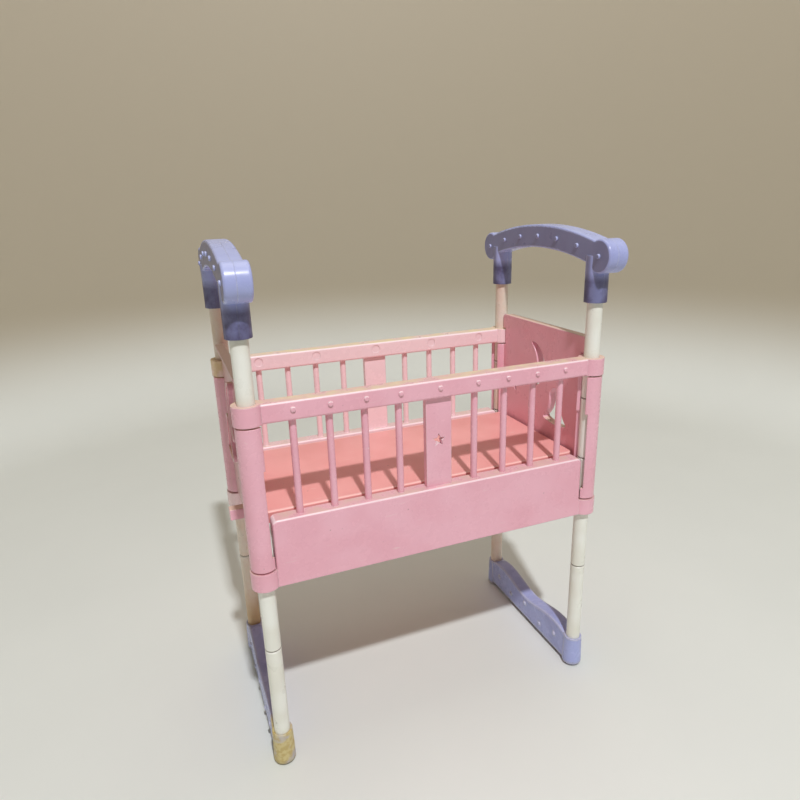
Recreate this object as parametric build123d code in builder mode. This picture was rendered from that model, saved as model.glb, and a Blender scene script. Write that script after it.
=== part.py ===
from build123d import *
from math import asin, cos, degrees, radians, sin
import os

# A knock-down toy cot for a small doll, moulded in plastic.
# Four posts, each a stack of push-fit tubes, stand in two foot bars and carry two arches.
# Two barred side rails ride on the posts by rings, two end panels clip on between the rings,
# and a loose floor board rests on ledges inside the side rails.
#
# Millimetres. The origin is on the ground under the middle of the cot.
# X runs along the cot, Y across it from front to back, and Z is up.

os.makedirs("parts", exist_ok=True)

# ---------------------------------------------------------------- driving dimensions

# Where the posts stand
post_span_x = 160.0  # between post axes, along the cot
post_span_y = 82.6  # between post axes, across the cot

# Post tubes
tube_od = 7.1
tube_wall = 1.35
tube_long = 61.0
tube_short = 30.5
spigot_length = 6.0  # neck that plugs into the tube above
spigot_wall = 0.9
tube_top_chamfer = 0.6
tube_base_chamfer = 0.15

# Clearances on the radius
push_clearance = 0.02  # pieces that stay together
run_clearance = 0.05  # rings and sleeves that slide on the posts

# Foot bars
foot_socket_height = 17.4
foot_socket_floor = 1.2
foot_socket_top_wall = 1.05
foot_socket_draft = 0.5  # how much wider the socket is towards the ground
foot_socket_base_chamfer = 1.6
foot_bar_width = 8.0
foot_bar_wall = 1.6
foot_bar_ground_gap = 2.5
foot_bar_end_height = 16.2
foot_bar_hump_height = 19.0
foot_bar_dip_height = 15.0
foot_bar_hump_offset = 23.5  # from the middle of the bar
foot_stud_offsets = (15.7, 30.0)
foot_stud_high = 11.2
foot_stud_low = 7.7

# Arches
arch_socket_insertion = 15.1  # how far a post goes into its socket
arch_socket_wall = 1.62
arch_width = 9.3
arch_depth = 11.1  # across the curved band
arch_wall = 1.6
arch_rise = 12.9  # middle of the band above the post tops, at the crown
arch_radius = 159.5  # middle of the band
arch_drum_radius = 7.5
arch_drum_step = 1.0  # drum face proud of the band, on the half towards +X
arch_drum_overhang = 6.0  # drum axis outside the post axis
arch_round = 1.1  # rounding of the band's and the drums' outer edges
arch_stud_steps = 3  # studs on each side of the middle one
arch_pin_radius = 1.2
arch_pin_length = 1.8
arch_pin_clearance = 0.05

# Rings, rails and side panels
ring_wall = 2.35
ring_height = 8.0
ring_spacing = 72.0  # between the bases of the lower and upper rings
rail_drop = 40.9  # top of the rail below the post tops
rail_depth = 7.6
rail_round = 1.0  # long edges of the top rail, and the side panel's rim
side_panel_height = 30.4
side_panel_wall = 1.8
side_panel_end_gap = 1.05  # between the panel's end and the post
side_panel_corner = 2.5
bar_diameter = 3.0
bar_pitch = 15.0
bar_first_offset = 18.0
bars_per_side = 4
slat_width = 12.0
slat_thickness = 3.0
star_radius = 3.1
star_inner_ratio = 0.46
star_height = 21.8  # above the side panel
ledge_length = 118.0
ledge_reach = 4.0
ledge_thickness = 2.0
rail_stud_drop = 3.4  # below the top of the rail
ejector_mark_radius = 2.1
ejector_mark_depth = 0.25

# End panels
sleeve_wall = 1.9
sleeve_end_gap = 0.75  # to the rings above and below
sleeve_mouth = 51.0  # half angle of the opening, middle stretch
finger_mouth = 38.0  # half angle of the opening at the snap fingers
finger_top_length = 18.5
finger_base_length = 5.5
web_thickness = 2.0
web_rise = 8.8  # top of the web above the rails
web_ring_gap = 0.7
web_ear_gap = 0.5  # between the ears and the posts
web_corner = 2.0
web_rim_depth = 2.4
web_rim_thickness = 1.4
peg_width = 5.0
peg_height = 5.2
peg_length = 7.6
peg_rise = 12.6  # this and the cut-outs' heights are from the underside of the lower rings
moon_centre_rise = 66.2
moon_outer_radius = 12.4
moon_inner_radius = 14.0
moon_back_y = -5.4  # the round back of the crescent
moon_thickness = 6.8
moon_tip_radius = 0.8
bell_y = -15.8
bell_base_rise = 39.7
bell_height = 18.0
bell_half_width = 10.6
bell_dome_radius = 5.0
bell_waist_half_width = 6.3
bell_waist_height = 5.1
bell_mouth_sag = 1.8
bell_lip_radius = 0.9
horn_y = 24.6
horn_top_rise = 55.2
horn_length = 10.6
horn_half_width = 2.9
horn_corner = 0.8

# Floor board
floor_drop = 0.4  # below the top of the side panels
floor_end_gap = 1.5  # to the end panels
floor_side_gap = 2.4  # to the side rails
floor_thickness = 2.0
floor_rim_thickness = 1.6
floor_corner = 3.0
floor_rib_pitch = 36.0
floor_seat_gap = 0.05

# Studs on rails, bars and arches
stud_radius = 1.1
stud_height = 0.8
stud_round = 0.45
edge_round = 0.7

# ---------------------------------------------------------------- derived sizes

post_r = tube_od / 2
tube_bore_r = post_r - tube_wall
spigot_r = tube_bore_r - push_clearance
push_bore_r = post_r + push_clearance
run_bore_r = post_r + run_clearance
half_x = post_span_x / 2
half_y = post_span_y / 2

seam_1 = foot_socket_floor + tube_long
seam_2 = seam_1 + tube_long
seam_3 = seam_2 + tube_short
post_top = seam_3 + tube_long

upper_ring_top = post_top - rail_drop
upper_ring_base = upper_ring_top - ring_height
lower_ring_base = upper_ring_base - ring_spacing
ring_r = run_bore_r + ring_wall
sleeve_r = run_bore_r + sleeve_wall
sleeve_base = lower_ring_base + ring_height + sleeve_end_gap
sleeve_top = upper_ring_base - sleeve_end_gap
side_panel_top = lower_ring_base + side_panel_height
floor_top = side_panel_top - floor_drop


def add_studs(plane, points):
    """Raise a row of round-topped studs on a face of the part being built."""
    with BuildSketch(plane) as stud_feet:
        with Locations(*points):
            Circle(stud_radius)
    extrude(stud_feet.sketch, amount=stud_height)
    top_plane = plane.offset(stud_height)
    on_top = edges(Select.LAST).filter_by(GeomType.CIRCLE)
    on_top = on_top.filter_by(lambda edge: abs(top_plane.to_local_coords(edge.center()).Z) < 0.01)
    fillet(on_top, radius=stud_round)


# ---------------------------------------------------------------- post tubes

# Each tube has a bore at its foot and a neck at its head, so the next one plugs on.
tubes = (
    ("foot_tube", foot_socket_floor, tube_long),
    ("lower_tube", seam_1, tube_long),
    ("short_tube", seam_2, tube_short),
    ("top_tube", seam_3, tube_long),
)
corners = (
    ("front_left", -half_x, -half_y),
    ("front_right", half_x, -half_y),
    ("back_left", -half_x, half_y),
    ("back_right", half_x, half_y),
)

for corner_name, corner_x, corner_y in corners:
    for tube_name, tube_base, tube_length in tubes:
        with BuildPart() as tube:
            with BuildSketch(Plane((corner_x, corner_y, tube_base))):
                Circle(post_r)
            extrude(amount=tube_length)
            ends = edges().filter_by(GeomType.CIRCLE).sort_by(Axis.Z)
            chamfer(ends[0], length=tube_base_chamfer)
            chamfer(ends[-1], length=tube_top_chamfer)
            with BuildSketch(Plane((corner_x, corner_y, tube_base + tube_length))):
                Circle(spigot_r)
            extrude(amount=spigot_length)
            neck = edges().filter_by(GeomType.CIRCLE).sort_by(Axis.Z)[-1]
            chamfer(neck, length=tube_top_chamfer)
            with BuildSketch(Plane((corner_x, corner_y, tube_base))):
                Circle(tube_bore_r)
            extrude(amount=tube_length - spigot_length, mode=Mode.SUBTRACT)
            with BuildSketch(Plane((corner_x, corner_y, tube_base))):
                Circle(spigot_r - spigot_wall)
            extrude(amount=tube_length + spigot_length, mode=Mode.SUBTRACT)
        node = f"{corner_name}_{tube_name}"
        tube.part.label = node
        export_step(tube.part, f"parts/{node}.step")

# ---------------------------------------------------------------- foot bars

# A foot bar is a thin shell, open underneath, with a socket for a post at each end.
# Its top edge rises to two humps with a dip between them.
socket_top_r = push_bore_r + foot_socket_top_wall
socket_base_r = socket_top_r + foot_socket_draft
foot_cavity_y = half_y - socket_base_r - foot_bar_wall
foot_stud_points = [(0, foot_stud_high)]
for side in (-1, 1):
    foot_stud_points.append((side * foot_stud_offsets[0], foot_stud_low))
    foot_stud_points.append((side * foot_stud_offsets[1], foot_stud_high))

for bar_name, bar_x in (("foot_bar_left", -half_x), ("foot_bar_right", half_x)):
    with BuildPart() as foot_bar:
        with BuildSketch(Plane.YZ.offset(bar_x)):
            with BuildLine():
                Polyline(
                    (-half_y, foot_bar_end_height),
                    (-half_y, foot_bar_ground_gap),
                    (half_y, foot_bar_ground_gap),
                    (half_y, foot_bar_end_height),
                )
                Spline(
                    (half_y, foot_bar_end_height),
                    (foot_bar_hump_offset, foot_bar_hump_height),
                    (0, foot_bar_dip_height),
                    (-foot_bar_hump_offset, foot_bar_hump_height),
                    (-half_y, foot_bar_end_height),
                )
            make_face()
        extrude(amount=foot_bar_width / 2, both=True)
        long_edges = edges().filter_by(GeomType.BSPLINE)
        fillet(long_edges, radius=edge_round)
        with Locations((bar_x, -half_y, 0), (bar_x, half_y, 0)):
            Cone(
                bottom_radius=socket_base_r,
                top_radius=socket_top_r,
                height=foot_socket_height,
                align=(Align.CENTER, Align.CENTER, Align.MIN),
            )
        socket_feet = edges().filter_by(GeomType.CIRCLE).group_by(Axis.Z)[0]
        chamfer(socket_feet, length=foot_socket_base_chamfer)
        with BuildSketch(Plane.YZ.offset(bar_x)):
            with BuildLine():
                Polyline(
                    (-foot_cavity_y, foot_bar_end_height - foot_bar_wall),
                    (-foot_cavity_y, 0),
                    (foot_cavity_y, 0),
                    (foot_cavity_y, foot_bar_end_height - foot_bar_wall),
                )
                Spline(
                    (foot_cavity_y, foot_bar_end_height - foot_bar_wall),
                    (foot_bar_hump_offset, foot_bar_hump_height - foot_bar_wall),
                    (0, foot_bar_dip_height - foot_bar_wall),
                    (-foot_bar_hump_offset, foot_bar_hump_height - foot_bar_wall),
                    (-foot_cavity_y, foot_bar_end_height - foot_bar_wall),
                )
            make_face()
        extrude(amount=foot_bar_width / 2 - foot_bar_wall, both=True, mode=Mode.SUBTRACT)
        with BuildSketch(Plane.XY.offset(foot_socket_floor)):
            with Locations((bar_x, -half_y), (bar_x, half_y)):
                Circle(push_bore_r)
        extrude(amount=foot_socket_height, mode=Mode.SUBTRACT)
        add_studs(Plane.YZ.offset(bar_x + foot_bar_width / 2), foot_stud_points)
        back_plane = Plane((bar_x - foot_bar_width / 2, 0, 0), x_dir=(0, -1, 0), z_dir=(-1, 0, 0))
        add_studs(back_plane, foot_stud_points)
    foot_bar.part.label = bar_name
    export_step(foot_bar.part, f"parts/{bar_name}.step")

# ---------------------------------------------------------------- arches

# Each arch is two half shells joined on the plane of the post axes. It is a curved band that
# ends in a drum at each side, with a socket under each end that pushes onto a post.
crown_z = post_top + arch_rise
arch_centre_z = crown_z - arch_radius
drum_y = half_y + arch_drum_overhang
drum_angle = degrees(asin(drum_y / arch_radius))
drum_z = arch_centre_z + arch_radius * cos(radians(drum_angle))
band_outer_r = arch_radius + arch_depth / 2
band_inner_r = arch_radius - arch_depth / 2
arch_socket_base = post_top - arch_socket_insertion
cavity_y = half_y - push_bore_r - 2 * arch_wall
arch_stud_points = []
for step in range(-arch_stud_steps, arch_stud_steps + 1):
    stud_angle = radians(drum_angle * step / arch_stud_steps)
    arch_stud_points.append(
        (arch_radius * sin(stud_angle), arch_centre_z + arch_radius * cos(stud_angle))
    )


def arch_half(arch_x, side):
    """One half shell: side is 1 for the half towards +X and -1 for the other."""
    drum_reach = arch_width / 2 + (arch_drum_step if side > 0 else 0)
    with BuildPart() as half:
        with BuildSketch(Plane.YZ.offset(arch_x)):
            with Locations((0, arch_centre_z)):
                Circle(band_outer_r)
                Circle(band_inner_r, mode=Mode.SUBTRACT)
            with Locations((0, crown_z)):
                Rectangle(2 * drum_y, arch_radius, mode=Mode.INTERSECT)
            if side < 0:
                with Locations((-drum_y, drum_z), (drum_y, drum_z)):
                    Circle(arch_drum_radius)
        extrude(amount=side * arch_width / 2)
        outer_face = faces().filter_by(Axis.X).sort_by(Axis.X)[-1 if side > 0 else 0]
        fillet(outer_face.edges().filter_by(GeomType.CIRCLE), radius=arch_round)
        if side > 0:
            with BuildSketch(Plane.YZ.offset(arch_x)):
                with Locations((-drum_y, drum_z), (drum_y, drum_z)):
                    Circle(arch_drum_radius)
            extrude(amount=drum_reach)
            fillet(edges().filter_by(GeomType.CIRCLE).group_by(Axis.X)[-1], radius=arch_round)
        with BuildSketch(Plane.XY.offset(arch_socket_base)):
            with Locations((arch_x, -half_y), (arch_x, half_y)):
                Circle(push_bore_r + arch_socket_wall)
        extrude(amount=drum_z - arch_socket_base)
        split(bisect_by=Plane.YZ.offset(arch_x), keep=Keep.TOP if side > 0 else Keep.BOTTOM)
        # Bores for the post's head and its neck
        with BuildSketch(Plane.XY.offset(arch_socket_base)):
            with Locations((arch_x, -half_y), (arch_x, half_y)):
                Circle(push_bore_r)
        extrude(amount=arch_socket_insertion, mode=Mode.SUBTRACT)
        with BuildSketch(Plane.XY.offset(post_top)):
            with Locations((arch_x, -half_y), (arch_x, half_y)):
                Circle(spigot_r + push_clearance)
        extrude(amount=spigot_length + push_clearance, mode=Mode.SUBTRACT)
        # Hollow of the band between the two sockets
        with BuildSketch(Plane.YZ.offset(arch_x)):
            with Locations((0, arch_centre_z)):
                Circle(band_outer_r - arch_wall)
                Circle(band_inner_r + arch_wall, mode=Mode.SUBTRACT)
            with Locations((0, crown_z)):
                Rectangle(2 * cavity_y, arch_radius, mode=Mode.INTERSECT)
        extrude(amount=side * (arch_width / 2 - arch_wall), mode=Mode.SUBTRACT)
        # Locating pins on one half, holes in the other
        pin_r = arch_pin_radius if side > 0 else arch_pin_radius + arch_pin_clearance
        pin_length = arch_pin_length if side > 0 else arch_pin_length + arch_pin_clearance
        with BuildSketch(Plane.YZ.offset(arch_x)):
            with Locations((-drum_y, drum_z), (drum_y, drum_z)):
                Circle(pin_r)
        extrude(amount=-pin_length, mode=Mode.ADD if side > 0 else Mode.SUBTRACT)
        # Studs: the outermost ones stand on the drums
        for face_x, points in (
            (arch_width / 2, arch_stud_points[1:-1]),
            (drum_reach, arch_stud_points[:1] + arch_stud_points[-1:]),
        ):
            plane = Plane((arch_x + side * face_x, 0, 0), x_dir=(0, side, 0), z_dir=(side, 0, 0))
            add_studs(plane, points)
    return half


for arch_name, arch_x in (("left", -half_x), ("right", half_x)):
    for half_name, side in (("left_half", -1), ("right_half", 1)):
        half = arch_half(arch_x, side)
        node = f"arch_{arch_name}_{half_name}"
        half.part.label = node
        export_step(half.part, f"parts/{node}.step")

# ---------------------------------------------------------------- side rails

# One moulding per side: a ring at each corner, a square top rail, a hollow panel below, and
# eight round bars with a flat slat in the middle. The back rail is the front one turned round.
rail_end_x = half_x - (run_bore_r + ring_r) / 2
panel_end_x = half_x - post_r - side_panel_end_gap
stud_row_z = upper_ring_top - rail_stud_drop
bar_length = upper_ring_base - side_panel_top
bar_offsets = [0.0]
for count in range(bars_per_side):
    bar_x = bar_first_offset + count * bar_pitch
    bar_offsets += [-bar_x, bar_x]
mark_offsets = [x for index, x in enumerate(bar_offsets) if index % 4 in (0, 3)]
star_points = []
for corner in range(10):
    radius = star_radius if corner % 2 == 0 else star_radius * star_inner_ratio
    angle = radians(90 + 36 * corner)
    star_points.append((radius * cos(angle), radius * sin(angle)))

with BuildPart() as side_rail_front:
    # Side panel with rounded top corners
    with BuildSketch(Plane.XZ.offset(half_y)):
        with Locations((0, side_panel_top)):
            Rectangle(2 * panel_end_x, side_panel_height, align=(Align.CENTER, Align.MAX))
        fillet(vertices().group_by(Axis.Y)[-1], radius=side_panel_corner)
    extrude(amount=rail_depth / 2, both=True)
    panel_rim = faces().sort_by(Axis.Y)[0].edges() + faces().sort_by(Axis.Y)[-1].edges()
    fillet(panel_rim.filter_by(lambda e: e.center().Z > lower_ring_base + 1), radius=rail_round)
    # Straps that tie the panel to the lower rings, and the top rail
    with BuildSketch(Plane.XZ.offset(half_y)):
        with Locations((0, lower_ring_base), (0, upper_ring_base)):
            Rectangle(2 * rail_end_x, ring_height, align=(Align.CENTER, Align.MIN))
    extrude(amount=rail_depth / 2, both=True)
    rail_edges = edges().filter_by(Axis.X).filter_by(lambda e: e.center().Z > side_panel_top)
    fillet(rail_edges.filter_by(lambda e: e.center().Z > upper_ring_base - 1), radius=rail_round)
    # Rings
    for ring_base in (lower_ring_base, upper_ring_base):
        with BuildSketch(Plane.XY.offset(ring_base)):
            with Locations((-half_x, -half_y), (half_x, -half_y)):
                Circle(ring_r)
        extrude(amount=ring_height)
    # Hollow of the side panel, open underneath
    with BuildSketch(Plane.XY.offset(lower_ring_base)):
        with Locations((0, -half_y)):
            Rectangle(
                2 * (panel_end_x - 2 * side_panel_wall),
                rail_depth - 2 * side_panel_wall,
            )
    extrude(amount=side_panel_height - side_panel_wall, mode=Mode.SUBTRACT)
    # Bars and the middle slat
    with BuildSketch(Plane.XY.offset(side_panel_top - side_panel_wall)):
        with Locations(*[(x, -half_y) for x in bar_offsets[1:]]):
            Circle(bar_diameter / 2)
        with Locations((0, -half_y)):
            Rectangle(slat_width, slat_thickness)
    extrude(amount=bar_length + 2 * side_panel_wall)
    # Star cut through the slat
    with BuildSketch(Plane.XZ.offset(half_y)):
        with Locations((0, side_panel_top + star_height)):
            Polygon(*star_points, align=None)
    extrude(amount=slat_thickness, both=True, mode=Mode.SUBTRACT)
    # Ledge for the floor board
    ledge_top = floor_top - floor_thickness - floor_rim_thickness * 2 - floor_seat_gap
    with BuildSketch(Plane.XY.offset(ledge_top - ledge_thickness)):
        with Locations((0, -half_y + rail_depth / 2)):
            Rectangle(ledge_length, ledge_reach, align=(Align.CENTER, Align.MIN))
    extrude(amount=ledge_thickness)
    # Bores for the posts
    with BuildSketch(Plane.XY.offset(lower_ring_base)):
        with Locations((-half_x, -half_y), (half_x, -half_y)):
            Circle(run_bore_r)
    extrude(amount=upper_ring_top - lower_ring_base, mode=Mode.SUBTRACT)
    # Ejector marks in the inner face of the top rail, behind every other stud
    with BuildSketch(Plane.XZ.offset(half_y - rail_depth / 2)):
        with Locations(*[(x, stud_row_z) for x in mark_offsets]):
            Circle(ejector_mark_radius)
    extrude(amount=ejector_mark_depth, mode=Mode.SUBTRACT)
    add_studs(Plane.XZ.offset(half_y + rail_depth / 2), [(x, stud_row_z) for x in bar_offsets])
side_rail_front.part.label = "side_rail_front"
export_step(side_rail_front.part, "parts/side_rail_front.step")

with BuildPart() as side_rail_back:
    add(side_rail_front.part, rotation=(0, 0, 180))
side_rail_back.part.label = "side_rail_back"
export_step(side_rail_back.part, "parts/side_rail_back.step")

# ---------------------------------------------------------------- end panels

# A flat web between the posts with a C-shaped sleeve at each side, which snaps over a post
# between the two rings. The web has a rim on its outer face along the top and round the
# cut-outs: a crescent moon, a bell and a small horn. A square peg stands on the outer face.
# The left panel is the right one turned round.
web_inner_x = half_x - web_thickness / 2
web_outer_x = half_x + web_thickness / 2
web_side_y = half_y - (run_bore_r + sleeve_r) / 2
neck_y = half_y - ring_r - web_ring_gap
ear_y = half_y - post_r - web_ear_gap
ear_base = upper_ring_top + web_ring_gap
web_top = upper_ring_top + web_rise
peg_base = lower_ring_base + peg_rise
moon_centre_z = lower_ring_base + moon_centre_rise
bell_base_z = lower_ring_base + bell_base_rise
bell_waist_z = bell_base_z + bell_waist_height
horn_top_z = lower_ring_base + horn_top_rise
moon_outer_y = moon_back_y + moon_outer_radius
moon_inner_y = moon_back_y + moon_thickness + moon_inner_radius


def moon_outline(grow):
    """Crescent with its points towards +Y, in the YZ plane, grown by a margin."""
    with BuildSketch() as outline:
        with Locations((moon_outer_y, moon_centre_z)):
            Circle(moon_outer_radius + grow)
        with Locations((moon_inner_y, moon_centre_z)):
            Circle(moon_inner_radius - grow, mode=Mode.SUBTRACT)
        fillet(outline.vertices(), radius=moon_tip_radius + grow)
    return outline.sketch


def bell_outline(grow):
    """Bell with a domed crown and a flared mouth, in the YZ plane, grown by a margin."""
    dome_z = bell_base_z + bell_height - bell_dome_radius
    with BuildSketch() as outline:
        with BuildLine():
            ThreePointArc(
                (bell_y - bell_dome_radius, dome_z),
                (bell_y, bell_base_z + bell_height),
                (bell_y + bell_dome_radius, dome_z),
            )
            ThreePointArc(
                (bell_y + bell_dome_radius, dome_z),
                (bell_y + bell_waist_half_width, bell_waist_z),
                (bell_y + bell_half_width, bell_base_z),
            )
            ThreePointArc(
                (bell_y + bell_half_width, bell_base_z),
                (bell_y, bell_base_z - bell_mouth_sag),
                (bell_y - bell_half_width, bell_base_z),
            )
            ThreePointArc(
                (bell_y - bell_half_width, bell_base_z),
                (bell_y - bell_waist_half_width, bell_waist_z),
                (bell_y - bell_dome_radius, dome_z),
            )
        make_face()
        fillet(outline.vertices().group_by(Axis.Y)[0], radius=bell_lip_radius)
        if grow:
            offset(amount=grow)
    return outline.sketch


def horn_outline(grow):
    """Small horn that tapers downwards, in the YZ plane, grown by a margin."""
    with BuildSketch() as outline:
        with BuildLine():
            Polyline(
                (horn_y - horn_half_width, horn_top_z),
                (horn_y - horn_half_width, horn_top_z - horn_length),
                (horn_y + horn_half_width, horn_top_z),
                close=True,
            )
        make_face()
        fillet(outline.vertices(), radius=horn_corner)
        if grow:
            offset(amount=grow)
    return outline.sketch


with BuildPart() as end_panel_right:
    # Web, with a neck beside the rings and ears above them
    with BuildSketch(Plane.YZ.offset(web_inner_x)):
        with BuildLine():
            Polyline(
                (0, sleeve_base),
                (web_side_y, sleeve_base),
                (web_side_y, sleeve_top),
                (neck_y, sleeve_top),
                (neck_y, ear_base),
                (ear_y, ear_base),
                (ear_y, web_top),
                (0, web_top),
            )
            mirror(about=Plane.YZ)
        make_face()
        fillet(vertices().group_by(Axis.Y)[-1], radius=web_corner)
    extrude(amount=web_thickness)
    # Rim along the top edge and round the cut-outs
    with BuildSketch(Plane.YZ.offset(web_outer_x)):
        with Locations((0, web_top)):
            Rectangle(2 * neck_y, web_rim_thickness, align=(Align.CENTER, Align.MAX))
    extrude(amount=web_rim_depth)
    for outline in (moon_outline, bell_outline, horn_outline):
        with BuildSketch(Plane.YZ.offset(web_outer_x)):
            add(outline(web_rim_thickness))
        extrude(amount=web_rim_depth)
    for outline in (moon_outline, bell_outline, horn_outline):
        with BuildSketch(Plane.YZ.offset(web_inner_x)):
            add(outline(0))
        extrude(amount=web_thickness + web_rim_depth, mode=Mode.SUBTRACT)
    # Peg
    with BuildSketch(Plane.YZ.offset(web_outer_x)):
        with Locations((0, peg_base)):
            Rectangle(peg_width, peg_height, align=(Align.CENTER, Align.MIN))
    extrude(amount=peg_length)
    # Sleeves
    with BuildSketch(Plane.XY.offset(sleeve_base)):
        with Locations((half_x, -half_y), (half_x, half_y)):
            Circle(sleeve_r)
    extrude(amount=sleeve_top - sleeve_base)
    with BuildSketch(Plane.XY.offset(sleeve_base)):
        with Locations((half_x, -half_y), (half_x, half_y)):
            Circle(run_bore_r)
    extrude(amount=sleeve_top - sleeve_base, mode=Mode.SUBTRACT)
    # Mouths: narrower at the snap fingers than in between
    middle_base = sleeve_base + finger_base_length
    middle_top = sleeve_top - finger_top_length
    for mouth_base, mouth_top, mouth in (
        (sleeve_base, sleeve_top, finger_mouth),
        (middle_base, middle_top, sleeve_mouth),
    ):
        reach = 2 * sleeve_r
        with BuildSketch(Plane.XY.offset(mouth_base)):
            for post_y in (-half_y, half_y):
                with BuildLine():
                    Polyline(
                        (half_x, post_y),
                        (half_x - reach * cos(radians(mouth)), post_y - reach * sin(radians(mouth))),
                        (half_x - reach * cos(radians(mouth)), post_y + reach * sin(radians(mouth))),
                        close=True,
                    )
                make_face()
        extrude(amount=mouth_top - mouth_base, mode=Mode.SUBTRACT)
end_panel_right.part.label = "end_panel_right"
export_step(end_panel_right.part, "parts/end_panel_right.step")

with BuildPart() as end_panel_left:
    add(end_panel_right.part, rotation=(0, 0, 180))
end_panel_left.part.label = "end_panel_left"
export_step(end_panel_left.part, "parts/end_panel_left.step")

# ---------------------------------------------------------------- floor board

# A tray turned upside down: a flat board with a rim turned down all round, and cross ribs.
floor_half_x = web_inner_x - floor_end_gap
floor_half_y = half_y - rail_depth / 2 - floor_side_gap
floor_depth = floor_thickness + floor_rim_thickness * 2
floor_base = floor_top - floor_depth

with BuildPart() as floor_board:
    with BuildSketch(Plane.XY.offset(floor_base)):
        RectangleRounded(2 * floor_half_x, 2 * floor_half_y, floor_corner)
    extrude(amount=floor_depth)
    fillet(faces().sort_by(Axis.Z)[-1].edges(), radius=edge_round)
    with BuildSketch(Plane.XY.offset(floor_base)):
        RectangleRounded(
            2 * (floor_half_x - floor_rim_thickness),
            2 * (floor_half_y - floor_rim_thickness),
            floor_corner - floor_rim_thickness,
        )
    extrude(amount=floor_depth - floor_thickness, mode=Mode.SUBTRACT)
    with BuildSketch(Plane.XY.offset(floor_base)):
        with GridLocations(floor_rib_pitch, 0, 3, 1):
            Rectangle(floor_rim_thickness, 2 * floor_half_y - floor_rim_thickness)
    extrude(amount=floor_depth - floor_thickness)
floor_board.part.label = "floor_board"
export_step(floor_board.part, "parts/floor_board.step")
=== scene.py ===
# A knock-down toy cot for a small doll, about 233 mm tall: four posts of push-fit tubes in two
# foot bars, two arches over the ends, barred sides and cut-out ends that ride on the posts,
# and a loose floor board. Metres, with the origin on the ground under the middle of the cot.
import math

import bpy
from mathutils import Matrix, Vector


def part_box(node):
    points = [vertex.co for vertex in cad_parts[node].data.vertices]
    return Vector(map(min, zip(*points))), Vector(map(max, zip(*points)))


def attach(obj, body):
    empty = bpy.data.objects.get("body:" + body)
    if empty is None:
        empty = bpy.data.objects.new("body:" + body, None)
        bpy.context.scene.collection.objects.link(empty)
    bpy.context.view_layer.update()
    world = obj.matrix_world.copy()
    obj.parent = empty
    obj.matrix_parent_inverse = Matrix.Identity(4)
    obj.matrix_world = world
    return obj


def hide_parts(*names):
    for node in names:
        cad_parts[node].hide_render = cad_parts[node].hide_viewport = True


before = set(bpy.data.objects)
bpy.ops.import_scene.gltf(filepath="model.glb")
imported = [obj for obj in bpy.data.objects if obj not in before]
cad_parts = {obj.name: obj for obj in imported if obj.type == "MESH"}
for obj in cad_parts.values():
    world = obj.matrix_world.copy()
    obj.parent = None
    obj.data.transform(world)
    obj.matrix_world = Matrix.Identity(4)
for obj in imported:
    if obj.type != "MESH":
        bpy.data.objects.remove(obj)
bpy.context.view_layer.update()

# ---------------------------------------------------------------- camera
# A short lens held just above the height of the arches, in front of the cot and to its left,
# looking down into it and tipped slightly, as a hand holds it.
MM = 0.001
camera_place = (-104.4 * MM, -269.2 * MM, 244.3 * MM)
camera_heading = -20.96
camera_pitch = 72.30
camera_roll = -1.79
camera_lens = 27.45

camera = bpy.data.objects.new("camera", bpy.data.cameras.new("camera"))
bpy.context.collection.objects.link(camera)
camera.data.lens = camera_lens
camera.data.sensor_width = 36.0
camera.data.clip_start = 0.01
camera.matrix_world = (
    Matrix.Translation(camera_place)
    @ Matrix.Rotation(math.radians(camera_heading), 4, "Z")
    @ Matrix.Rotation(math.radians(camera_pitch), 4, "X")
    @ Matrix.Rotation(math.radians(camera_roll), 4, "Z")
)
bpy.context.scene.camera = camera

# ---------------------------------------------------------------- post tubes
# Each post is four tubes moulded in white polypropylene, each plugged onto the neck of the one
# below. They have gone ivory; the back ones are painted peach in patches as light reflected from
# the pink panels and shade, and each seam carries a painted shadow line over a painted highlight.
ivory = ("#f2f4ee", "#e9e9df", "#fbfbf5")
scuff_white = "#f6f1e8"
speck_brown = "#6f5f4c"
seam_shadow = "#5c5246"
seam_dust = "#b3a894"
back_post_bounce_tint = "#dcb094"
soaked_ivory = "#c39a5c"
back_of_cot = 20 * MM
dust_reach = 5 * MM
chamfer_drop = 0.55 * MM
chamfer_half_width = 0.4 * MM
shadow_rise = 0.15 * MM
shadow_half_width = 0.3 * MM
soak_top = 44 * MM
soak_full = 22 * MM


def linear(hex_colour):
    """An sRGB hex colour as the linear colour that a shader socket takes."""
    channels = [int(hex_colour[i : i + 2], 16) / 255 for i in (1, 3, 5)]
    return [c / 12.92 if c <= 0.04045 else ((c + 0.055) / 1.055) ** 2.4 for c in channels] + [1.0]


def add(tree, kind, inputs={}, output=0, **settings):
    """
    Add a node, set its properties, set or link its inputs, and give back one output. Inputs go
    by name or number: a Map Range takes its value at 0, the span it reads at 1 and 2 and the span
    it gives at 3 and 4, and a Mix of colours takes its mask at 0 and the two colours at 6 and 7.
    """
    node = tree.nodes.new("ShaderNode" + kind)
    for name, value in settings.items():
        setattr(node, name, value)
    for socket, value in inputs.items():
        if isinstance(value, bpy.types.NodeSocket):
            tree.links.new(value, node.inputs[socket])
        else:
            node.inputs[socket].default_value = value
    return node.outputs[output] if node.outputs else None


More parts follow.
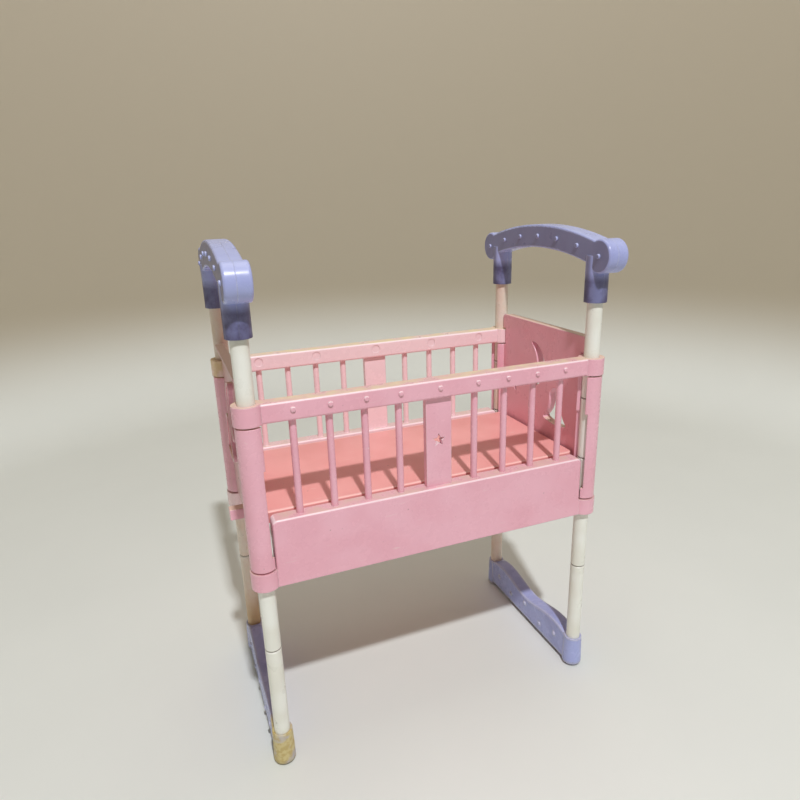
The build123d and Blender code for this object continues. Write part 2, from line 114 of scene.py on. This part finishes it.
def moulded_plastic(name, pigment, clouded, worn, roughness):
    """
    Injection-moulded plastic: a faintly clouded pigment, edges rubbed pale, short scuffs,
    stuck dust and a soft orange-peel skin. Gives the material, its shader, and the place, facing
    and blotches that later stains are laid by.
    """
    material = bpy.data.materials.new(name)
    material.use_nodes = True
    tree = material.node_tree
    tree.nodes.clear()
    place = add(tree, "TexCoord", output="Object")
    normal = add(tree, "NewGeometry", output="Normal")
    facing = normal.node.outputs["True Normal"]
    smooth = {"interpolation_type": "SMOOTHSTEP"}
    # Clouds of pigment, blotches of wear and the skin that a mould's surface leaves
    cloud_size = 20 * MM
    blotch_size = 8.33 * MM
    skin_size = 1 * MM
    clouds = add(tree, "TexNoise", {"Vector": place, "Scale": 1 / cloud_size, "Detail": 2.0})
    clouds = add(tree, "MapRange", {0: clouds, 1: 0.35, 2: 0.65}, **smooth)
    blotches = {"Vector": place, "Scale": 1 / blotch_size, "Detail": 5.0, "Roughness": 0.6}
    blotches = add(tree, "TexNoise", blotches)
    skin = add(tree, "TexNoise", {"Vector": place, "Scale": 1 / skin_size, "Detail": 3.0})
    # Scuffs, wider than real ones so that they show
    scuff_width = 0.77 * MM
    scuff_length = 7.7 * MM
    stretch = (1 / scuff_length, 1 / scuff_width, 1 / scuff_width)
    turned = add(tree, "Mapping", {"Vector": place, "Rotation": (0.4, 0.7, 0.3), "Scale": stretch})
    streaks = add(tree, "TexNoise", {"Vector": turned, "Scale": 1.0, "Detail": 2.0})
    streaks = add(tree, "MapRange", {0: streaks, 1: 0.64, 2: 0.74}, **smooth)
    rubbed_and_highlit = add(tree, "MapRange", {0: blotches, 1: 0.48, 2: 0.64}, **smooth)
    scuffs = add(tree, "Math", {0: streaks, 1: rubbed_and_highlit}, operation="MULTIPLY")
    # Specks of stuck dust up to 0.5 mm across, gathered where the plastic is not rubbed
    speck_spacing = 3.03 * MM
    dots = add(tree, "TexVoronoi", {"Vector": place, "Scale": 1 / speck_spacing})
    dots = add(tree, "MapRange", {0: dots, 1: 0.17, 2: 0.08}, **smooth)
    dusty = add(tree, "MapRange", {0: blotches, 1: 0.42, 2: 0.34}, **smooth)
    specks = add(tree, "Math", {0: dots, 1: dusty}, operation="MULTIPLY")
    # Rubbed edges are found where the face turns away from the rounded one
    edge_round = 0.5 * MM
    rounded = add(tree, "Bevel", {"Radius": edge_round}, samples=4)
    turn = add(tree, "VectorMath", {0: normal, 1: rounded}, "Value", operation="DOT_PRODUCT")
    edges = add(tree, "MapRange", {0: turn, 1: 0.997, 2: 0.93}, **smooth)
    patchy = add(tree, "MapRange", {0: blotches, 1: 0.38, 2: 0.58, 3: 0.25, 4: 0.95})
    edges = add(tree, "Math", {0: edges, 1: patchy}, operation="MULTIPLY")
    paint = add(tree, "Mix", {0: clouds, 6: linear(pigment), 7: linear(clouded)}, 2, data_type="RGBA")
    paint = add(tree, "Mix", {0: edges, 6: paint, 7: linear(worn)}, 2, data_type="RGBA")
    scuffed = add(tree, "Math", {0: scuffs, 1: 0.3}, operation="MULTIPLY")
    paint = add(tree, "Mix", {0: scuffed, 6: paint, 7: linear(scuff_white)}, 2, data_type="RGBA")
    speckled = add(tree, "Math", {0: specks, 1: 0.45}, operation="MULTIPLY")
    paint = add(tree, "Mix", {0: speckled, 6: paint, 7: linear(speck_brown)}, 2, data_type="RGBA")
    # Skin depth and how far the gloss varies about the plastic's own roughness
    skin_depth = 0.03 * MM
    dull = add(tree, "MapRange", {0: blotches, 1: 0.3, 2: 0.7, 3: roughness - 0.06, 4: roughness + 0.10})
    dull = add(tree, "Math", {0: scuffs, 1: 0.25, 2: dull}, operation="MULTIPLY_ADD")
    relief = add(tree, "Math", {0: clouds, 1: 0.5, 2: skin}, operation="MULTIPLY_ADD")
    bump = {"Height": relief, "Strength": 0.25, "Distance": skin_depth, "Normal": rounded}
    bump = add(tree, "Bump", bump)
    finish = {"Base Color": paint, "Roughness": dull, "IOR": 1.5, "Normal": bump}
    shader = add(tree, "BsdfPrincipled", finish)
    add(tree, "OutputMaterial", {"Surface": shader})
    return material, shader.node, place, facing, blotches


def stain_or_painted_light(shader, mask, colour, matt=0.15):
    """Lay another colour over a plastic where a mask says so, and dull it there: dirt and fading, and
    also painted light and shade.
    """
    tree = shader.id_data
    below = shader.inputs["Base Color"].links[0].from_socket
    paint = add(tree, "Mix", {0: mask, 6: below, 7: linear(colour)}, 2, data_type="RGBA")
    tree.links.new(paint, shader.inputs["Base Color"])
    gloss = shader.inputs["Roughness"].links[0].from_socket
    dull = add(tree, "Math", {0: mask, 1: matt, 2: gloss}, operation="MULTIPLY_ADD")
    tree.links.new(dull, shader.inputs["Roughness"])


ivory_polypropylene, shader, place, facing, blotches = moulded_plastic(
    "moulded_ivory_polypropylene", *ivory, 0.30
)
# A milky plastic with a faint waxy gloss. Each seam has a painted shadow, a dark line just above
# it, over a painted highlight on the chamfer of the tube below, with dust gathered round it.
tree = ivory_polypropylene.node_tree
along, across, height = [add(tree, "SeparateXYZ", {0: place}, axis) for axis in "XYZ"]
on_back = add(tree, "MapRange", {0: across, 1: back_of_cot, 2: back_of_cot + MM})
# The back posts are tinted peach in patches: painted light reflected from the pink panels, with painted
# shade.
back_post_bounce = add(tree, "MapRange", {0: blotches, 1: 0.3, 2: 0.7, 3: 0.30, 4: 0.60})
back_post_bounce = add(tree, "Math", {0: back_post_bounce, 1: on_back}, operation="MULTIPLY")
stain_or_painted_light(shader, back_post_bounce, back_post_bounce_tint, 0.05)
for kind in ("lower", "short", "top"):
    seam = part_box(f"front_left_{kind}_tube")[0].z
    above = add(tree, "Math", {0: height, 1: seam}, operation="SUBTRACT")
    away = add(tree, "Math", {0: above}, operation="ABSOLUTE")
    near = add(tree, "MapRange", {0: away, 1: dust_reach, 2: 0.0})
    gathered = add(tree, "Math", {0: blotches, 1: 0.30, 2: near}, operation="MULTIPLY_ADD")
    gathered = add(tree, "MapRange", {0: gathered, 1: 1.00, 2: 1.22, 4: 0.35})
    stain_or_painted_light(shader, gathered, seam_dust)
    # A painted highlight on the chamfer just below each seam.
    bright = add(tree, "Math", {0: above, 1: -chamfer_drop, 2: chamfer_half_width}, operation="COMPARE")
    bright = add(tree, "Math", {0: bright, 1: 0.8}, operation="MULTIPLY")
    stain_or_painted_light(shader, bright, ivory[2], 0.0)
    # A painted shadow: a dark line just above each seam.
    seam_shadow_line = add(tree, "Math", {0: above, 1: shadow_rise, 2: shadow_half_width}, operation="COMPARE")
    seam_shadow_line = add(tree, "Math", {0: seam_shadow_line, 1: 0.85}, operation="MULTIPLY")
    stain_or_painted_light(shader, seam_shadow_line, seam_shadow)
# The foot of the back left post has soaked up something brown in its socket
on_left = add(tree, "MapRange", {0: along, 1: 0.0, 2: -MM})
soaked = {0: height, 1: soak_top, 2: soak_full, 4: 0.75}
soaked = add(tree, "MapRange", soaked, interpolation_type="SMOOTHSTEP")
soaked = add(tree, "Math", {0: soaked, 1: on_left}, operation="MULTIPLY")
soaked = add(tree, "Math", {0: soaked, 1: on_back}, operation="MULTIPLY")
stain_or_painted_light(shader, soaked, soaked_ivory)
for corner in ("front_left", "front_right", "back_left", "back_right"):
    for kind in ("foot", "lower", "short", "top"):
        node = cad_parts[f"{corner}_{kind}_tube"]
        node.data.materials.clear()
        node.data.materials.append(ivory_polypropylene)

# ---------------------------------------------------------------- foot bars
# Two low wavy bars moulded in lavender polystyrene, hollow underneath, each with a socket for
# a post at both ends and five studs on each face. The near left socket has yellowed badly.
lavender = ("#aab3e6", "#a1a8dc", "#d2d8f6")
dusty_rim = "#cdcdd8"
yellowed_lavender = "#cfc08a"
brown_yellow = "#b3954f"
ground_dirt = "#8d8068"
rim_width = 2 * MM
mottle_size = 2.22 * MM
dirt_height = 3.5 * MM
mould_round = 0.25 * MM
foot_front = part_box("foot_bar_left")[0].y
socket_reach = 11 * MM


def soften(node_name, edge_width, material, body):
    """Put a copy of a CAD node in its place, with its edges rounded as a mould leaves them."""
    piece = bpy.data.objects.new(node_name + "_moulded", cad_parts[node_name].data.copy())
    bpy.context.collection.objects.link(piece)
    bpy.ops.object.select_all(action="DESELECT")
    piece.select_set(True)
    bpy.context.view_layer.objects.active = piece
    bpy.ops.mesh.customdata_custom_splitnormals_clear()
    bpy.ops.object.mode_set(mode="EDIT")
    bpy.ops.mesh.select_all(action="SELECT")
    bpy.ops.mesh.remove_doubles(threshold=0.002 * MM)
    bpy.ops.mesh.dissolve_limited(angle_limit=math.radians(1))
    bpy.ops.object.mode_set(mode="OBJECT")
    bevel = piece.modifiers.new("rounded edges", "BEVEL")
    bevel.width = edge_width
    bevel.segments = 3
    bevel.limit_method = "ANGLE"
    bevel.angle_limit = math.radians(35)
    bevel.use_clamp_overlap = False
    bpy.ops.object.modifier_apply(modifier=bevel.name)
    bpy.ops.object.shade_smooth_by_angle(angle=math.radians(50))
    flats = piece.modifiers.new("flat faces stay flat", "WEIGHTED_NORMAL")
    flats.keep_sharp = True
    bpy.ops.object.modifier_apply(modifier=flats.name)
    piece.data.materials.clear()
    piece.data.materials.append(material)
    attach(piece, body)
    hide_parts(node_name)


lavender_polystyrene, shader, place, facing, blotches = moulded_plastic(
    "moulded_lavender_polystyrene", *lavender, 0.25
)
# A harder, glossier plastic. Dust lies in a band along every rim, and dirt at the ground.
tree = lavender_polystyrene.node_tree
along, across, height = [add(tree, "SeparateXYZ", {0: place}, axis) for axis in "XYZ"]
rim_round = add(tree, "Bevel", {"Radius": rim_width}, samples=6)
rim = add(tree, "VectorMath", {0: facing, 1: rim_round}, "Value", operation="DOT_PRODUCT")
rim = add(tree, "MapRange", {0: rim, 1: 0.998, 2: 0.96, 4: 0.70}, interpolation_type="SMOOTHSTEP")
stain_or_painted_light(shader, rim, dusty_rim)
socket_end = foot_front + socket_reach
on_front = add(tree, "MapRange", {0: across, 1: socket_end + 3 * MM, 2: socket_end})
on_left = add(tree, "MapRange", {0: along, 1: 0.0, 2: -MM})
patchy = add(tree, "MapRange", {0: blotches, 1: 0.36, 2: 0.52, 3: 0.35, 4: 1.0})
yellowed = add(tree, "Math", {0: on_front, 1: on_left}, operation="MULTIPLY")
yellowed = add(tree, "Math", {0: yellowed, 1: patchy}, operation="MULTIPLY")
stain_or_painted_light(shader, yellowed, yellowed_lavender)
mottle = add(tree, "TexNoise", {"Vector": place, "Scale": 1 / mottle_size, "Detail": 4.0})
mottle = {0: mottle, 1: 0.44, 2: 0.60, 4: 0.50}
mottle = add(tree, "MapRange", mottle, interpolation_type="SMOOTHSTEP")
mottle = add(tree, "Math", {0: mottle, 1: yellowed}, operation="MULTIPLY")
stain_or_painted_light(shader, mottle, brown_yellow)
low = add(tree, "MapRange", {0: height, 1: dirt_height, 2: dirt_height - 3 * MM, 4: 0.55})
stain_or_painted_light(shader, low, ground_dirt)
for side in ("left", "right"):
    soften(f"foot_bar_{side}", mould_round, lavender_polystyrene, "stand")

# ---------------------------------------------------------------- arches
# A curved handle over each end, moulded in the same lavender polystyrene as two half shells
# that meet on a parting line. It ends in drums with sockets that push onto the posts.
side_face_shade = "#5a4d62"
socket_shade = "#463f62"
top_light_lavender = "#c3cbec"
socket_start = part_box("arch_left_left_half")[1].z - 20 * MM

lavender_polystyrene_lit_and_shaded, shader, place, facing, blotches = moulded_plastic(
    "moulded_lavender_polystyrene_lit_and_shaded", *lavender, 0.25
)
# Painted light makes it paler on top, and painted shade darkens the flat side faces and the sockets
tree = lavender_polystyrene_lit_and_shaded.node_tree
height = add(tree, "SeparateXYZ", {0: place}, "Z")
upward = add(tree, "SeparateXYZ", {0: facing}, "Z")
sideways = add(tree, "SeparateXYZ", {0: facing}, "X")
patchy = add(tree, "MapRange", {0: blotches, 1: 0.36, 2: 0.60, 3: 0.65, 4: 1.0})
# Painted light from above: upward faces are made paler in patches.
lit_from_above = add(tree, "MapRange", {0: upward, 1: 0.2, 2: 0.9, 4: 0.55})
lit_from_above = add(tree, "Math", {0: lit_from_above, 1: patchy}, operation="MULTIPLY")
stain_or_painted_light(shader, lit_from_above, top_light_lavender, 0.05)
# Painted shade on the flat side faces of the arches.
flat_face = add(tree, "Math", {0: sideways}, operation="ABSOLUTE")
flat_face = add(tree, "MapRange", {0: flat_face, 1: 0.93, 2: 0.995, 4: 0.50})
stain_or_painted_light(shader, flat_face, side_face_shade)
# Painted shade on the sockets below the drums.
shaded_sockets = add(tree, "MapRange", {0: height, 1: socket_start, 2: socket_start - 4 * MM, 4: 0.90})
shaded_sockets = add(tree, "Math", {0: shaded_sockets, 1: patchy}, operation="MULTIPLY")
stain_or_painted_light(shader, shaded_sockets, socket_shade)
for side in ("left", "right"):
    for half in ("left_half", "right_half"):
        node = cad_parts[f"arch_{side}_{half}"]
        node.data.materials.clear()
        node.data.materials.append(lavender_polystyrene_lit_and_shaded)

# ---------------------------------------------------------------- side rails
# One moulding in pink polypropylene on each side: rings that slide on the posts, a square top
# rail, a deep panel, eight bars and a slat. Their tops have yellowed, and the back one is paler:
# faded all over, with painted light on its faces turned toward the front.
pink = ("#f0b8c9", "#ecb0c1", "#fcdfe6")
cream_crust = "#eedcb6"
beige_dust = "#dccbb2"
faded_and_lit_pink = "#ffe8ea"
old_ring_beige = "#dcc49a"
edge_highlight_pink = "#fff0f4"
rail_low, rail_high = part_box("side_rail_front")
crust_depth = 3 * MM
ring_height = 9 * MM
ring_reach = 12 * MM

pink_polypropylene, shader, place, facing, blotches = moulded_plastic(
    "moulded_pink_polypropylene", *pink, 0.25
)
# A soft sheen on clear pink, with cream crust on the rails' tops, dust on every ledge and a
# painted highlight, almost white, along the upper edges
tree = pink_polypropylene.node_tree
along, across, height = [add(tree, "SeparateXYZ", {0: place}, axis) for axis in "XYZ"]
upward = add(tree, "SeparateXYZ", {0: facing}, "Z")
on_back = add(tree, "MapRange", {0: across, 1: back_of_cot, 2: back_of_cot + MM})
inward = add(tree, "SeparateXYZ", {0: facing}, "Y")
# The back rail is paler all over as a faded tint, and more so on faces turned forward: painted light.
faded_and_lit = add(tree, "MapRange", {0: inward, 1: 0.3, 2: -0.3, 3: 0.35, 4: 0.80})
faded_and_lit = add(tree, "Math", {0: faded_and_lit, 1: on_back}, operation="MULTIPLY")
stain_or_painted_light(shader, faded_and_lit, faded_and_lit_pink, 0.0)
up = add(tree, "MapRange", {0: upward, 1: 0.80, 2: 0.97})
patchy = add(tree, "MapRange", {0: blotches, 1: 0.40, 2: 0.60, 3: 0.25, 4: 1.0})
dusty = add(tree, "Math", {0: up, 1: patchy}, operation="MULTIPLY")
on_top = add(tree, "MapRange", {0: height, 1: rail_high.z - crust_depth, 2: rail_high.z - MM})
crust = add(tree, "Math", {0: dusty, 1: on_top}, operation="MULTIPLY")
thick = add(tree, "MapRange", {0: on_back, 3: 0.65, 4: 1.0})
crust = add(tree, "Math", {0: crust, 1: thick}, operation="MULTIPLY")
dusty = add(tree, "Math", {0: dusty, 1: 0.55}, operation="MULTIPLY")
stain_or_painted_light(shader, dusty, beige_dust)
stain_or_painted_light(shader, crust, cream_crust)
# A painted highlight on the upper rounded edges and the tops of the studs.
turning_up = add(tree, "MapRange", {0: upward, 1: 0.25, 2: 0.55})
not_flat = add(tree, "MapRange", {0: upward, 1: 0.97, 2: 0.88, 4: 0.75})
rubbed_and_highlit = add(tree, "Math", {0: turning_up, 1: not_flat}, operation="MULTIPLY")
stain_or_painted_light(shader, rubbed_and_highlit, edge_highlight_pink, 0.0)
corner_end = rail_low.x + ring_reach
in_corner = add(tree, "MapRange", {0: along, 1: corner_end + 4 * MM, 2: corner_end})
ring_base = rail_high.z - ring_height
in_ring = add(tree, "MapRange", {0: height, 1: ring_base, 2: ring_base + MM})
old_ring = add(tree, "Math", {0: on_back, 1: in_corner}, operation="MULTIPLY")
old_ring = add(tree, "Math", {0: old_ring, 1: in_ring}, operation="MULTIPLY")
old_ring = add(tree, "Math", {0: old_ring, 1: patchy}, operation="MULTIPLY")
stain_or_painted_light(shader, old_ring, old_ring_beige)
for side in ("front", "back"):
    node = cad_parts[f"side_rail_{side}"]
    node.data.materials.clear()
    node.data.materials.append(pink_polypropylene)

# ---------------------------------------------------------------- end panels
# A web with cut-outs between two sleeves that snap onto the posts, in the same pink, with
# painted shade and red bounced light deepening the inner face, and dusty outside.
inner_shade_pink = "#e79494"
outside_dust = "#cdb5a4"
web_edge = 37.4 * MM
web_blend = 0.2 * MM

shaded_polypropylene, shader, place, facing, _ = moulded_plastic(
    "moulded_pink_polypropylene_shaded", *pink, 0.25
)
# The same soft sheen, painted deeper red inside the cot as shade and bounced light, and beige with dust
# outside it
tree = shaded_polypropylene.node_tree
along, across = [add(tree, "SeparateXYZ", {0: place}, axis) for axis in "XY"]
upward = add(tree, "SeparateXYZ", {0: facing}, "Z")
up = add(tree, "MapRange", {0: upward, 1: 0.80, 2: 0.97, 4: 0.6})
stain_or_painted_light(shader, up, cream_crust)
which_end = add(tree, "Math", {0: along}, operation="SIGN")
outward = add(tree, "SeparateXYZ", {0: facing}, "X")
outward = add(tree, "Math", {0: outward, 1: which_end}, operation="MULTIPLY")
from_middle = add(tree, "Math", {0: across}, operation="ABSOLUTE")
on_web = add(tree, "MapRange", {0: from_middle, 1: web_edge + web_blend, 2: web_edge - web_blend})
# Painted shade and red bounced light on the inner face of the web.
inner_shade_and_bounce = add(tree, "MapRange", {0: outward, 1: -0.5, 2: -0.9, 4: 0.25})
inner_shade_and_bounce = add(tree, "Math", {0: inner_shade_and_bounce, 1: on_web}, operation="MULTIPLY")
stain_or_painted_light(shader, inner_shade_and_bounce, inner_shade_pink)
outer = add(tree, "MapRange", {0: outward, 1: 0.5, 2: 0.9, 4: 0.45})
outer = add(tree, "Math", {0: outer, 1: on_web}, operation="MULTIPLY")
stain_or_painted_light(shader, outer, outside_dust)
for side in ("left", "right"):
    soften(f"end_panel_{side}", mould_round, shaded_polypropylene, "cot_body")

# ---------------------------------------------------------------- floor board
# A loose tray turned upside down, moulded in salmon-pink polypropylene with a satin top and a
# lip along the front and back that carries a pale painted highlight.
salmon = ("#f2aeaa", "#eea6a2", "#fbc9c0")
lip_highlight = "#ffd6cf"
board_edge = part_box("floor_board")[1].y
lip_start = 1.6 * MM
lip_full = 0.9 * MM

salmon_polypropylene, shader, place, facing, _ = moulded_plastic(
    "moulded_salmon_polypropylene", *salmon, 0.36
)
# Warmer and more matt than the rails, so the bars' shadows read on it
tree = salmon_polypropylene.node_tree
across = add(tree, "SeparateXYZ", {0: place}, "Y")
from_middle = add(tree, "Math", {0: across}, operation="ABSOLUTE")
# A painted highlight on the upward faces of the lip.
lip = {0: from_middle, 1: board_edge - lip_start, 2: board_edge - lip_full, 4: 0.7}
lip = add(tree, "MapRange", lip)
upward = add(tree, "SeparateXYZ", {0: facing}, "Z")
up = add(tree, "MapRange", {0: upward, 1: 0.3, 2: 0.8})
lip = add(tree, "Math", {0: lip, 1: up}, operation="MULTIPLY")
stain_or_painted_light(shader, lip, lip_highlight, 0.0)
soften("floor_board", mould_round, salmon_polypropylene, "floor_board")

# ---------------------------------------------------------------- floor and light
# A pale painted cove stands round the cot. A small bright lamp high in front gives shadows
# with clear edges, and a broad ceiling panel and the open sky of the cove fill them.
cove_radius = 0.62
cove_height = 0.50
cove_bend = 0.14
floor_paint = ("#ebf0ed", "#e5eae7")
wall_paint = "#b3aa97"
roller_mottle = 83.3 * MM
lamp_place = (-0.075, -0.70, 1.12)
lamp_radius = 0.024
lamp_watts = 42
panel_place = (0.10, 0.15, 0.95)
panel_width = 0.6
panel_watts = 1.5
sky_strength = 0.14

bpy.ops.object.select_all(action="DESELECT")
bpy.ops.mesh.primitive_cylinder_add(
    vertices=96, radius=cove_radius, depth=cove_height, location=(0, 0, cove_height / 2)
)
cove = bpy.context.active_object
cove.name = "cove"
bpy.ops.object.transform_apply()
bpy.ops.object.mode_set(mode="EDIT")
bpy.ops.mesh.select_mode(type="FACE")
bpy.ops.mesh.select_all(action="DESELECT")
bpy.ops.object.mode_set(mode="OBJECT")
for face in cove.data.polygons:
    face.select = face.normal.z > 0.5
bpy.ops.object.mode_set(mode="EDIT")
bpy.ops.mesh.delete(type="FACE")
bpy.ops.mesh.select_mode(type="EDGE")
bpy.ops.object.mode_set(mode="OBJECT")
for edge in cove.data.edges:
    edge.select = all(cove.data.vertices[i].co.z < MM for i in edge.vertices)
bpy.ops.object.mode_set(mode="EDIT")
bpy.ops.mesh.bevel(offset=cove_bend, segments=12, affect="EDGES")
bpy.ops.mesh.select_mode(type="FACE")
bpy.ops.mesh.select_all(action="DESELECT")
bpy.ops.object.mode_set(mode="OBJECT")
for face in cove.data.polygons:
    face.select = face.normal.z < -0.999 and face.area > 0.1
bpy.ops.object.mode_set(mode="EDIT")
bpy.ops.mesh.inset(thickness=0.02)
bpy.ops.mesh.select_all(action="SELECT")
bpy.ops.mesh.flip_normals()
bpy.ops.object.mode_set(mode="OBJECT")
bpy.ops.object.shade_smooth()

matt_paint = bpy.data.materials.new("matt_painted_board")
matt_paint.use_nodes = True
tree = matt_paint.node_tree
tree.nodes.clear()
place = add(tree, "TexCoord", output="Object")
height = add(tree, "SeparateXYZ", {0: place}, "Z")
mottle = add(tree, "TexNoise", {"Vector": place, "Scale": 1 / roller_mottle, "Detail": 4.0})
pale, paler = [linear(colour) for colour in floor_paint]
paint = add(tree, "Mix", {0: mottle, 6: pale, 7: paler}, 2, data_type="RGBA")
up_wall = add(tree, "MapRange", {0: height, 1: 0.01, 2: cove_bend}, interpolation_type="SMOOTHSTEP")
paint = add(tree, "Mix", {0: up_wall, 6: paint, 7: linear(wall_paint)}, 2, data_type="RGBA")
surface = add(tree, "BsdfPrincipled", {"Base Color": paint, "Roughness": 0.6})
add(tree, "OutputMaterial", {"Surface": surface})
cove.data.materials.append(matt_paint)

lamp = bpy.data.objects.new("lamp", bpy.data.lights.new("lamp", "POINT"))
bpy.context.collection.objects.link(lamp)
lamp.data.energy = lamp_watts
lamp.data.shadow_soft_size = lamp_radius
lamp.data.color = linear("#fdfdff")[:3]
lamp.location = lamp_place

ceiling = bpy.data.objects.new("ceiling panel", bpy.data.lights.new("ceiling panel", "AREA"))
bpy.context.collection.objects.link(ceiling)
ceiling.data.energy = panel_watts
ceiling.data.size = panel_width
ceiling.data.color = linear("#fff6ea")[:3]
ceiling.location = panel_place

world = bpy.data.worlds.new("ceiling light")
world.use_nodes = True
world.node_tree.nodes["Background"].inputs["Color"].default_value = linear("#ffeedd")
world.node_tree.nodes["Background"].inputs["Strength"].default_value = sky_strength
bpy.context.scene.world = world
bpy.context.scene.view_settings.view_transform = "Standard"
